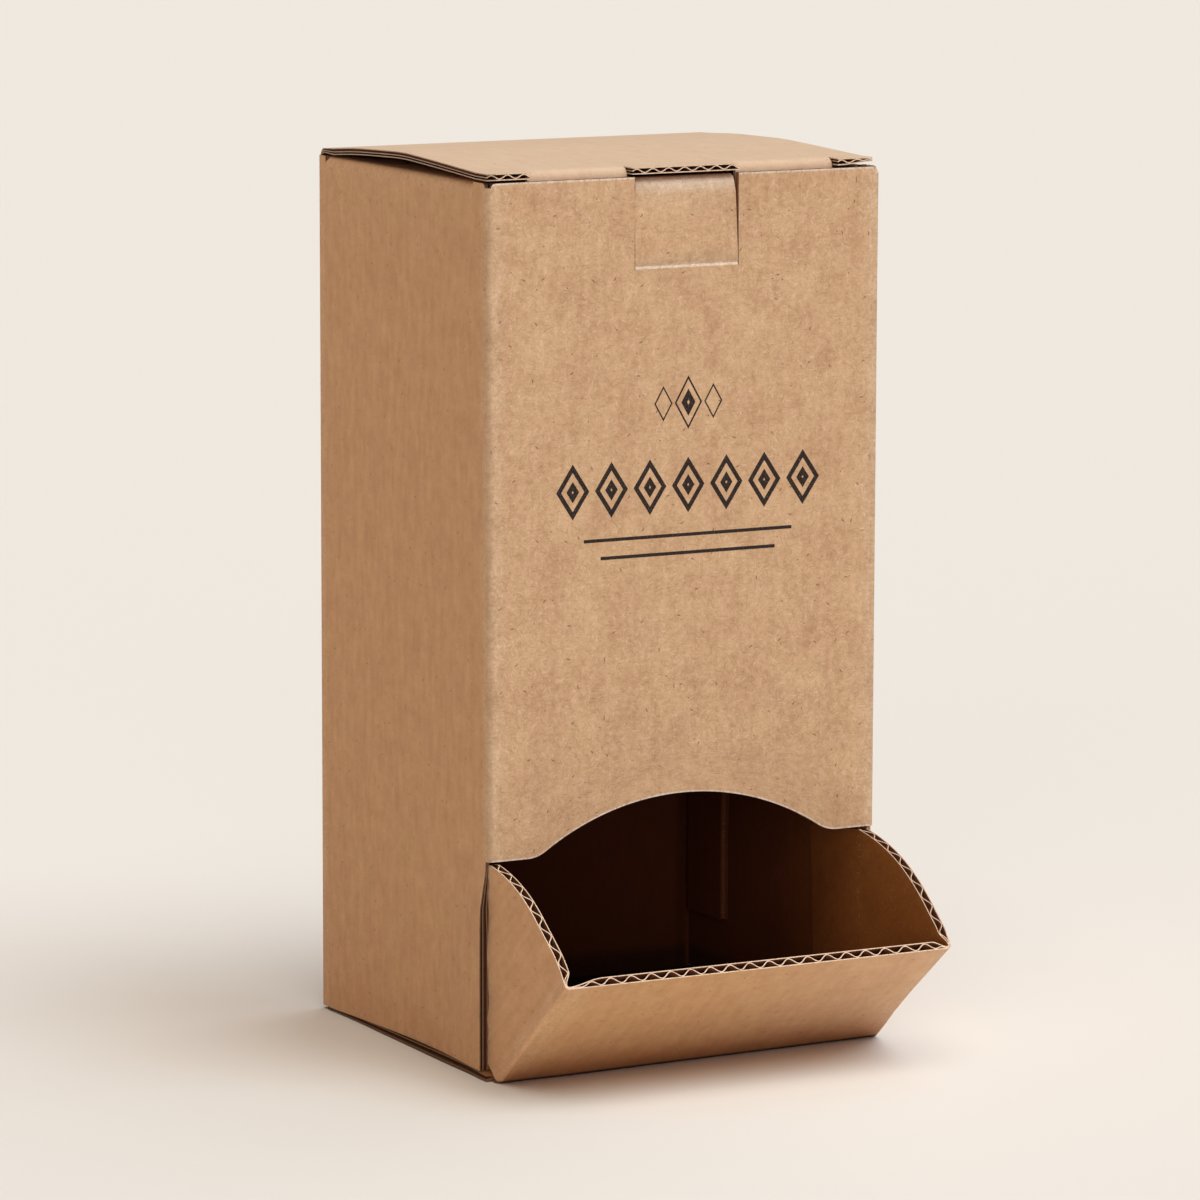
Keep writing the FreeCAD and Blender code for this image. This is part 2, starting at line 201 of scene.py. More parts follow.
# Outer liner, fluted medium and inner liner, copied from one flat blank and joined. Left is the caliper
# left at each point.
def plyUp(blank, left, caliper, pitch, scoreShades=0, rim=0, outside="kraft"):
    liner = board["liner"]
    run = np.zeros(len(blank.data.vertices))
    run[cornersOf(blank)] = readAll(blank.data.uv_layers[0].data, "uv", float, 2)[::2]
    worn = np.clip((caliper - left) / (caliper * board["rubbedShare"]), 0, 1)
    for name, values in (("crease", worn), ("scoreShade", scoreShades), ("rim", rim)):
        mark = blank.data.attributes.new(name, "FLOAT", "POINT")
        mark.data.foreach_set("value", np.broadcast_to(values, len(run)).astype(np.float32))
    rise = np.maximum((left - 3 * liner) / 2, board["flattest"])
    wave = -left / 2 + rise * np.cos(2 * math.pi * run / pitch)
    plies = [blank]
    for depth in (wave, -(left - liner / 2)):
        makeActive(blank)
        bpy.ops.object.duplicate()
        ply = bpy.context.object
        co = coordsOf(ply)
        co[:, 2] = depth
        setCoords(ply, co)
        plies.append(ply)
    co = coordsOf(blank)
    co[:, 2] = -liner / 2
    setCoords(blank, co)
    for index, ply in enumerate(plies):
        setMark(ply, "ply", np.full(len(ply.data.vertices), index))
        for name in (outside, "flute", "flute", "kraftInside", "cutEdge", "cutEdge", "cutEdge"):
            ply.data.materials.append(finishes[name])
    makeActive(blank)
    for ply in plies:
        ply.select_set(True)
    bpy.ops.object.join()
    firstCorners = cornersOf(blank)[readAll(blank.data.polygons, "loop_start")]
    blank.data.polygons.foreach_set("material_index", markOf(blank, "ply")[firstCorners])
    return blank


# Folds everything past a ruled line, step by step, about the centre of the fold.
def fold(piece, lines, name, first, angle, radius, towards, only=True):
    marks = markOf(piece, name)
    steps = board["foldSteps"]
    place = lines[first if towards > 0 else first + steps][0]
    if name == "column":
        centre, axis, turn = (place, 0, -radius), "Y", angle * towards
    else:
        centre, axis, turn = (0, place, -radius), "X", -angle * towards
    for k in range(1, steps + 1):
        beyond = marks >= first + k if towards > 0 else marks <= first + steps - k
        pickVertices(piece, beyond & only)
        turnPicked(turn / steps, axis, centre)


def giveThickness(piece):
    makeActive(piece)
    solid = piece.modifiers.new("thickness", "SOLIDIFY")
    solid.thickness = board["liner"]
    solid.offset = 0
    solid.use_even_offset = True
    solid.use_rim = True
    solid.material_offset = 1  # the lower side of each ply
    solid.material_offset_rim = 4
    bpy.ops.object.modifier_apply(modifier=solid.name)
    enter("EDIT")
    bpy.ops.mesh.select_all(action="SELECT")
    bpy.ops.mesh.normals_make_consistent(inside=False)
    enter("OBJECT")
    bpy.ops.object.shade_smooth_by_angle(angle=board["smoothAngle"])
    for name in ("column", "row", "ply"):
        piece.data.attributes.remove(piece.data.attributes[name])


def smooth(value, low, high):
    t = np.clip((value - low) / (high - low), 0, 1)
    return t * t * (3 - 2 * t)


# Caliper left by a fold: pressed flat along it, full again a few millimetres away.
def caliperNear(distance, caliper, left):
    return left + (caliper - left) * smooth(distance, 0, board["crushedReach"])


def forwards(operation):
    return lambda wire, other: wire.math(operation, other)


def backwards(operation):
    return lambda wire, other: wire.node("ShaderNodeMath", {"operation": operation}, {0: other, 1: wire})


# A socket that takes part in Python sums.
class Wire:
    def __init__(self, tree, socket=None):
        self.tree, self.socket = tree, socket

    def node(self, kind, settings, inputs, output=0):
        made = self.tree.nodes.new(kind)
        for name, value in settings.items():
            setattr(made, name, value)
        for name, value in inputs.items():
            if isinstance(value, Wire):
                self.tree.links.new(value.socket, made.inputs[name])
            else:
                made.inputs[name].default_value = value
        return Wire(self.tree, made.outputs[output])

    def out(self, name):
        return Wire(self.tree, self.socket.node.outputs[name])

    def math(self, operation, *others, clamp=False):
        values = dict(enumerate((self,) + others))
        return self.node("ShaderNodeMath", {"operation": operation, "use_clamp": clamp}, values)

    __add__, __sub__, __mul__ = forwards("ADD"), forwards("SUBTRACT"), forwards("MULTIPLY")
    __truediv__, __pow__ = forwards("DIVIDE"), forwards("POWER")
    __lt__, __gt__ = forwards("LESS_THAN"), forwards("GREATER_THAN")
    __radd__, __rsub__ = backwards("ADD"), backwards("SUBTRACT")

    def __abs__(self):
        return self.math("ABSOLUTE")

    def most(self, other):
        return self.math("MAXIMUM", other)

    def clip(self):
        return self.math("ADD", 0.0, clamp=True)

    def between(self, low, high):
        return self.node("ShaderNodeMapRange", {"interpolation_type": "SMOOTHSTEP"},
                         {"Value": self, "From Min": low, "From Max": high})

    def mixed(self, first, second):  # self is the share of the second colour
        inputs = {0: self, 6: first, 7: second}
        return self.node("ShaderNodeMix", {"data_type": "RGBA"}, inputs, 2)

    def tinted(self, tint):
        inputs = {0: 1.0, 6: self, 7: tint}
        return self.node("ShaderNodeMix", {"data_type": "RGBA", "blend_type": "MULTIPLY"}, inputs, 2)

    def noise(self, scale, detail, roughness):
        inputs = {"Vector": self, "Scale": scale, "Detail": detail, "Roughness": roughness}
        return self.node("ShaderNodeTexNoise", {"noise_dimensions": "2D"}, inputs)

    def stretched(self, across, along):
        inputs = {0: self, 1: (across, along, 1)}
        return self.node("ShaderNodeVectorMath", {"operation": "MULTIPLY"}, inputs)

    def shifted(self, across, along):
        inputs = {0: self, 1: (across, along, 0)}
        return self.node("ShaderNodeVectorMath", {"operation": "ADD"}, inputs)

    def split(self):
        return self.node("ShaderNodeSeparateXYZ", {}, {"Vector": self})


paper = {
    "base": (0.612, 0.340, 0.167, 1),
    "rosy": (0.614, 0.337, 0.169, 1),
    "sandy": (0.608, 0.342, 0.165, 1),
    "lidSheenRosy": (0.624, 0.437, 0.297, 1),  # painted sheen: the lid's top is made paler, standing for its grazing reflection
    "lidSheenSandy": (0.619, 0.447, 0.294, 1),
    "pale": (0.858, 0.672, 0.500, 1),  # worn creases, light fibres, and the painted highlight on the tab's top bend
    "dark": (0.385, 0.199, 0.091, 1),  # dark fibres
    "fleck": (0.204, 0.102, 0.048, 1),
    "scoreShade": (0.423, 0.232, 0.110, 1),  # painted shade of a pressed groove beside a fold
    # painted shade: the inner face is kept darker than the outer sheet
    "inside": (0.275, 0.095, 0.010, 1),
    "deepShade": (0.105, 0.027, 0.0039, 1),  # painted shade far inside the box
    "pitShade": (0.045, 0.013, 0.0035, 1),  # painted shade on its floor
    "gutterShadow": (0.030, 0.012, 0.006, 1),  # painted contact shadow at the foot of the tray's front, at the table
    # the medium: partly its own darker brown, partly painted shade of the flutes' hollows
    "flute": (0.200, 0.075, 0.031, 1),
    "edge": (0.780, 0.580, 0.420, 1),
    "edgeDark": (0.450, 0.270, 0.160, 1),
    "edgeShade": (0.150, 0.072, 0.032, 1),  # painted shade on cut edges and flutes of the left side, the walls' top and the right wing
    "ink": (0.016, 0.007, 0.005, 1),
    "plainTint": (1.0, 1.0, 1.0, 1),
    "frontLightTint": (0.970, 1.118, 1.30, 1),  # painted light: the front panel made greyer and bluer where the key light falls
    "trayLeftLightTint": (1.01, 1.04, 1.00, 1),  # painted light on the tray's front, at its left end
    "trayRightLightTint": (1.08, 1.20, 1.39, 1),  # paler at its right end, painted light
    "trayFootShadeTint": (0.80, 0.67, 0.58, 1),  # painted shade near the table
    # painted light: the left wing's outer face a little brighter
    "wingLightTint": (1.05, 1.05, 1.06, 1),
    "roughTone": {"grain": 0.54, "felt": 0.42, "wisps": 0.22, "cloud": 0.36},
    "softTone": {"streaks": 0.22, "mottle": 0.20},
    "coarse": {"kraftTab": 1.0, "kraftLid": 0.1},  # how rough a sheet looks, where it is even
    "coarseRange": (0.32, 0.68),  # elsewhere: least, and what the front adds
    "bandTone": 0.005,  # the flutes show through as faint bands
    "swing": (0.8, 1.33),  # lighter fibres are greyer, darker ones browner
    "roughness": 0.82,
    "roughnessSwing": 0.2,
    "specular": 0.4,
}

# Noises of the sheet: stretch across and along, scale per millimetre, detail, roughness.
sheetNoises = {
    "grain": (1, 1, 1.3, 5, 0.66),
    "felt": (1, 1, 0.42, 3, 0.6),
    "cloud": (1, 1, 0.07, 3, 0.55),
    "streaks": (0.33, 0.07, 1.0, 2, 0.5),
    "mottle": (1, 1, 0.17, 2, 0.5),
    "wisps": (0.30, 2.2, 1.0, 2, 0.6),
}

# Scattered marks in mm: cell, length, width, share of the cells that hold one, shift of the pattern, curl.
sheetMarks = {
    "darkFibres": (2.6, 1.5, 0.20, 0.6, 3.1, 0.2),
    "hairs": (3.7, 2.0, 0.20, 0.5, 29.7, 0.16),
    "paleFibres": (2.4, 1.3, 0.20, 0.55, 17.7, 0.2),
    "flecks": (10.0, 0.85, 0.26, 0.42, 41.3, 0.3),
    "specks": (7.0, 0.30, 0.28, 0.22, 71.9, 0.0),
}

places = {
    "frontSheet": (-halfDepth - 0.4 * mm, -halfDepth + 1.8 * mm),
    "printed": -halfDepth + 0.3 * mm,  # ink lies in front of this depth
    "beforeFront": -halfDepth - mm,  # the tray outside the box
    "mouthToBack": (-76 * mm, 5 * mm),  # painted shade darkens the inside along this depth
    # painted shade of the inside's floor: below the first heights, over the second depths
    "lowInside": (6 * mm, 11.5 * mm),
    "pitDepth": (-62 * mm, 0),
    # painted contact shadow at the tray's foot: up to these heights, in front of this depth
    "gutterRise": (0.3 * mm, 1.5 * mm),
    "gutterDepth": -halfDepth - 0.1 * mm,
    "tabBendHighlight": (279.5 * mm, 283.5 * mm),
    # painted light and shade of the tray's front: across it, up from the table, and the left wing's edge
    "trayAcross": (-30 * mm, 66 * mm),
    "trayRise": (0, 13 * mm),
    "leftWing": -68.6 * mm,
    "overBoard": board["caliper"] + 0.2 * mm,  # just past one thickness of board
    "lidGap": wallTop + 0.4 * mm,  # above this height lies the lid
}

# The printed ornament in mm: across from the box's middle, up from the table. Lozenges give half width,
# half height and half the line's width.
ornament = {
    "middle": 1.5,
    "crestHeight": 213.5,
    "crest": (4.6, 8.0, 0.30),
    "crestCore": (1.5, 2.6, 0.9),
    "sideCrest": (3.0, 5.2, 0.25),
    "sideCrestAt": 9.0,
    "rowHeight": 187.0,
    "row": (5.0, 7.6, 0.75),
    "rowCore": (1.3, 2.0, 0.8),
    "rowEnds": (-46.8, 49.8),
    "rowPitch": 13.8,
    "rules": [(171.0, 0.55, -36, 39), (165.2, 0.55, -30, 33)],  # height, half width, left and right end
    "ragged": 0.10,
}


# Short bent fibres or flecks scattered over the sheet, one to a cell.
def scattered(flat, cell, length, width, share, shift, curl):
    spread = flat.shifted(shift, shift * 0.7)
    inputs = {"Vector": spread, "Scale": 1 / cell}
    cells = spread.node("ShaderNodeTexVoronoi", {"voronoi_dimensions": "2D"}, inputs)
    inputs = {0: spread, 1: cells.out("Position")}
    apart = spread.node("ShaderNodeVectorMath", {"operation": "SUBTRACT"}, inputs).split()
    chance = cells.node("ShaderNodeSeparateColor", {}, {"Color": cells.out("Color")})
    turn = chance.out("Red") * (2 * math.pi)
    sine, cosine = turn.math("SINE"), turn.math("COSINE")
    dx, dy = apart.out("X"), apart.out("Y")
    along = dx * cosine + dy * sine
    beside = dy * cosine - dx * sine + along * along * (chance.out("Blue") - 0.5) * (4 * curl)
    body = 1 - (along / length) ** 2 - (beside / width) ** 2
    return body.math("MULTIPLY", 1.6, clamp=True) * (chance.out("Green") < share)


def printedOrnament(flat, spot):
    parts = flat.split()
    ragged = (flat.noise(2.2, 3, 0.6) - 0.5) * ornament["ragged"]
    x, z = parts.out("X"), parts.out("Y")

    def lozenge(dx, dz, wide, tall, line):
        apart = abs(abs(dx) / wide + abs(dz) / tall - 1) * (wide * tall / math.hypot(wide, tall))
        return apart + ragged < line

    aside, up = x - ornament["middle"], z - ornament["crestHeight"]
    mask = lozenge(aside, up, *ornament["crest"]).most(lozenge(aside, up, *ornament["crestCore"]))
    mask = mask.most(lozenge(abs(aside) - ornament["sideCrestAt"], up, *ornament["sideCrest"]))
    left, right = ornament["rowEnds"]
    pitch = ornament["rowPitch"]
    cell = (x - left + ragged * 0.5).math("MODULO", pitch) - pitch / 2
    up = z - ornament["rowHeight"]
    row = lozenge(cell, up, *ornament["row"]).most(lozenge(cell, up, *ornament["rowCore"]))
    mask = mask.most(row * (x > left) * (x < right))
    for height, half, left, right in ornament["rules"]:
        level = (abs(z - height) + ragged) < half
        mask = mask.most(level * (x > left) * (x < right))
    worn = flat.noise(3.0, 4, 0.7).between(0.22, 0.40)  # tiny misses where fibres stand proud
    return mask * (spot.out("Y") < places["printed"]) * worn


# How far the named noises pull a tone up or down.
def swayed(noises, strengths):
    return sum((noises[name] - 0.5) * strength for name, strength in strengths.items())


# Colour of the box's inner face, with painted shade: darker away from the mouth and at the floor.
def insideColour(colour, spot):
    colour = spot.out("Y").between(*places["mouthToBack"]).mixed(colour, paper["deepShade"])
    low = (1 - spot.out("Z").between(*places["lowInside"])) * spot.out("Y").between(*places["pitDepth"])
    return low.mixed(colour, paper["pitShade"])


# Worn creases, painted shade in pressed grooves, frayed cut lines (on the tab, a painted highlight along
# its crease) and a painted contact shadow at the tray's foot, on an outer face.
def wornColour(colour, flat, spot, grain):
    def mark(name):
        return flat.node("ShaderNodeAttribute", {"attribute_name": name}, {}, "Fac")

    crease, scoreShade, rim = mark("crease"), mark("scoreShade"), mark("rim")
    rubbed = crease * flat.noise(0.8, 4, 0.6).between(0.3, 0.8)
    colour = (rubbed * 0.22).mixed(colour, paper["pale"])
    # painted shade in the pressed grooves
    colour = (scoreShade * (0.45 + grain * 0.5)).mixed(colour, paper["scoreShade"])
    # frayed burr along cut lines; on the tab, a painted highlight along its crease
    burrAndHighlight = (rim * 1.7).clip() * flat.noise(1.1, 3, 0.6).between(0.28, 0.52)
    colour = burrAndHighlight.mixed(colour, paper["edge"])
    # painted contact shadow along the tray's foot at the table
    foot = (1 - spot.out("Z").between(*places["gutterRise"])) * (spot.out("Y") < places["gutterDepth"])
    return foot.mixed(colour, paper["gutterShadow"])


def linerColour(name, flat, spot, noises, marks, coarse):
    patches = noises["cloud"].between(0.35, 0.65)
    if name == "kraftLid":
        colour = patches.mixed(paper["lidSheenRosy"], paper["lidSheenSandy"])
    elif name == "kraftInside":
        colour = (noises["cloud"] * 0.1).mixed(paper["inside"], paper["base"])
    else:
        colour = patches.mixed(paper["rosy"], paper["sandy"])
    colour = (marks["paleFibres"] * coarse * 0.20).mixed(colour, paper["pale"])
    colour = (marks["darkFibres"].most(marks["hairs"]) * coarse * 0.36).mixed(colour, paper["dark"])
    colour = (marks["flecks"].most(marks["specks"]) * (0.35 + coarse * 0.5)).mixed(colour, paper["fleck"])
    if name == "kraftInside":
        return insideColour(colour, spot)
    colour = wornColour(colour, flat, spot, noises["grain"])
    if name == "kraftTab":
        # painted highlight where the tab's top bend faces the light
        colour = (spot.out("Z").between(*places["tabBendHighlight"]) * 0.35).mixed(colour, paper["pale"])
    if name == "kraft":
        colour = printedOrnament(flat, spot).mixed(colour, paper["ink"])
    return colour


# The fluted medium, with painted shade towards the left side.
def fluteColour(spot, darkFibres):
    colour = (darkFibres * 0.4).mixed(paper["flute"], paper["dark"])
    leftSide = (spot.out("X") < places["overBoard"] - halfWidth) * (spot.out("Z") < places["lidGap"])
    return (leftSide * 0.6).mixed(colour, paper["edgeShade"])


# Cut edges are pale, with painted shade on the left side, along the walls' top, inside the box and along
# the right wing.
def edgeColour(flat, spot):
    x, y, z = spot.out("X"), spot.out("Y"), spot.out("Z")
    over = places["overBoard"]
    colour = flat.noise(0.9, 4, 0.7).between(0.45, 0.8).mixed(paper["edge"], paper["edgeDark"])
    leftSide = (x < over - halfWidth) * ((y > -halfDepth - 0.2 * mm) + (z < over)).clip()
    leftSide = leftSide * (1 - (z > places["lidGap"]) * 0.5)
    topEdge = (z > wallTop - 0.5 * mm) * (z < wallTop + 0.3 * mm)
    rightWing = (x > halfWidth - 5 * mm) * (y < -halfDepth) * (z > 43.5 * mm)
    shaded = (leftSide * 0.9).most(topEdge * 0.2).most(rightWing * 0.35)
    within = (abs(x) < halfWidth - 1.5 * mm) * (y > over - halfDepth) * (y < halfDepth - 0.6 * mm)
    within = within * (z < wallTop - 10 * mm)
    return within.mixed(shaded.mixed(colour, paper["edgeShade"]), paper["deepShade"])


# Painted light and shade of the outer sheet: the front panel greyer and bluer where the key light falls,
# the tray's front paler towards its right end and darker near the table, the left wing a little brighter.
def sheetLightTint(name, spot, facing):
    if name == "kraftTab":
        return paper["frontLightTint"]
    trayLighting = spot.out("X").between(*places["trayAcross"]).mixed(paper["trayLeftLightTint"], paper["trayRightLightTint"])
    trayLighting = spot.out("Z").between(*places["trayRise"]).mixed(paper["trayFootShadeTint"], trayLighting)
    trayLighting = (spot.out("X") < places["leftWing"]).mixed(trayLighting, paper["wingLightTint"])
    wallLighting = facing.mixed(paper["plainTint"], paper["frontLightTint"])
    return (spot.out("Y") < places["beforeFront"]).mixed(wallLighting, trayLighting)


def makeFinish(name):
    finish = bpy.data.materials.new(name)
    finish.use_nodes = True
    tree = finish.node_tree
    shader = tree.nodes["Principled BSDF"]
    start = Wire(tree)
    uv = start.node("ShaderNodeUVMap", {"uv_map": "UVMap"}, {})
    flat = start.node("ShaderNodeVectorMath", {"operation": "SCALE"}, {0: uv, "Scale": 1 / mm})
    spot = start.node("ShaderNodeTexCoord", {}, {}, "Object").split()
    front, back = places["frontSheet"]
    facing = (spot.out("Y") < back) * (spot.out("Y") > front)
    least, more = paper["coarseRange"]
    coarse = paper["coarse"].get(name) or least + facing * more
    noises = {}
    for kind, (across, along, scale, detail, roughness) in sheetNoises.items():
        noises[kind] = flat.stretched(across, along).noise(scale, detail, roughness)
    marks = {kind: scattered(flat, *sizes) for kind, sizes in sheetMarks.items()}
    band = (flat.split().out("X") * (2 * math.pi * mm / board["flutePitch"])).math("COSINE")

    if name == "flute":
        tone, bumps = 1 + swayed(noises, {"grain": 0.5}), 0.3
        colour = fluteColour(spot, marks["darkFibres"])
    elif name == "cutEdge":
        tone, bumps = 1 + swayed(noises, {"grain": 0.5, "felt": 0.3}), 0.6
        colour = edgeColour(flat, spot)
    else:
        soft = swayed(noises, paper["softTone"]) * (0.5 if name == "kraftLid" else 1.0)
        tone = 1 + swayed(noises, paper["roughTone"]) * coarse + soft + band * paper["bandTone"]
        bumps = 0.5
        colour = linerColour(name, flat, spot, noises, marks, coarse)
    swing = tone - 1
    red, blue = paper["swing"]
    inputs = {"Red": 1 + swing * red, "Green": tone, "Blue": 1 + swing * blue}
    colour = colour.tinted(start.node("ShaderNodeCombineColor", {}, inputs))
    if name in ("kraft", "kraftTab"):
        colour = colour.tinted(sheetLightTint(name, spot, facing))
    relief = swayed(noises, {"grain": 0.06}) + marks["paleFibres"] * 0.03 - marks["darkFibres"] * 0.02
    relief = relief + swayed(noises, {"felt": 0.05}) + band * 0.015
    bump = start.node("ShaderNodeBump", {}, {"Strength": bumps, "Distance": mm, "Height": relief})
    roughness = paper["roughness"] + swayed(noises, {"grain": paper["roughnessSwing"]})
    tree.links.new(colour.socket, shader.inputs["Base Color"])
    tree.links.new(roughness.socket, shader.inputs["Roughness"])
    tree.links.new(bump.socket, shader.inputs["Normal"])
    shader.inputs["Specular IOR Level"].default_value = paper["specular"]
    return finish


finishNames = ("kraft", "kraftLid", "kraftTab", "flute", "kraftInside", "cutEdge")
finishes = {name: makeFinish(name) for name in finishNames}
print("finishes mixed")

walls = {
    "shoulder": 70.4 * mm,  # lower edge of the front panel beside the arch
    "archTop": 87.3 * mm,
    "archRadius": 90.0 * mm,
    "archBlend": 12.0 * mm,
    "rim": 0.7 * mm,  # burred strip along the mouth's cut edge
    "cornerRound": (1.7 * mm, 2.3 * mm),  # worn tops of the left and right front corners
    "cornerDrop": 0.9,
    "dustRadius": 2.6 * mm,
    "flapReach": 26.5 * mm,  # glue flap inside the right panel
    "dustReach": 44.0 * mm,  # dust flaps under the lid
    "dustInset": (7 * mm, 3 * mm),  # their ends, from the front and back panels
    "windowLeft": tabLow.x - 0.3 * mm,
    "windowRight": tabHigh.x + 0.3 * mm,
    "windowFoot": 256.6 * mm,
    "flare": (bodyHigh.x - halfWidth) * 0.98,  # how far the lower front corners stand out
    "flareLength": 54.0 * mm,
    "backFoot": 0.93 * board["foldRadius"],  # the back panel meets the floor's fold here
    "backShare": 0.9985,  # leaves room for the paper's thickness
    "easing": 0.16,  # the side panels are pressed less lower down
    # Painted shade along the front left fold, column by column, and beside the back left fold.
    "scoreShade": (0.15, 0.45, 0.75, 0.8, 0.8, 0.75, 0.55, 0.2),
    "backScoreShade": 0.4,
    "leftSpread": (1.6 * mm, 1.0 * mm),  # back left corner, at the table and the top
    "spreadAcross": (25 * mm, 66 * mm),
    # In mm: (height, how far the front right corner stands out), (place from the back, height) of the side
    # panels' lower edges, and the rows' heights.
    "rightSpread": [(0, 0), (52, 0), (64, 0.3), (75, 0.45), (110, 0.5), (240, 0.95), (286, 1.25)],
    "leftFoot": [(0, 1.25), (10, 1.3), (30, 2.0), (60, 2.6), (90, 3.0), (123, 2.7)],
    "rightFoot": [(0, 1.35), (3.5, 1.45), (9, 3.1), (80, 3.1), (100, 2.4), (123, 0.2)],
    "levels": [3, 8, 22.4, 31, 40, 48, 55, 62, 66, 68.4, 70.4, 70.9, 100, 256.6, 280, 283.2, 283.4],
}


def archHeight(x):
    blend, big, foot = walls["archBlend"], walls["archRadius"], walls["shoulder"]
    bigCentre = walls["archTop"] - big
    blendX = math.sqrt((big + blend) ** 2 - (foot + blend - bigCentre) ** 2)
    x = abs(x)
    if x >= blendX:
        return foot
    if x > blendX * big / (big + blend):
        return foot + blend - math.sqrt(blend ** 2 - (x - blendX) ** 2)
    return bigCentre + math.sqrt(big ** 2 - x ** 2)


# Reads (place, value) pairs in millimetres at the given spots.
def follow(pairs, spots):
    known, values = np.array(pairs).T * mm
    return np.interp(spots, known, values)


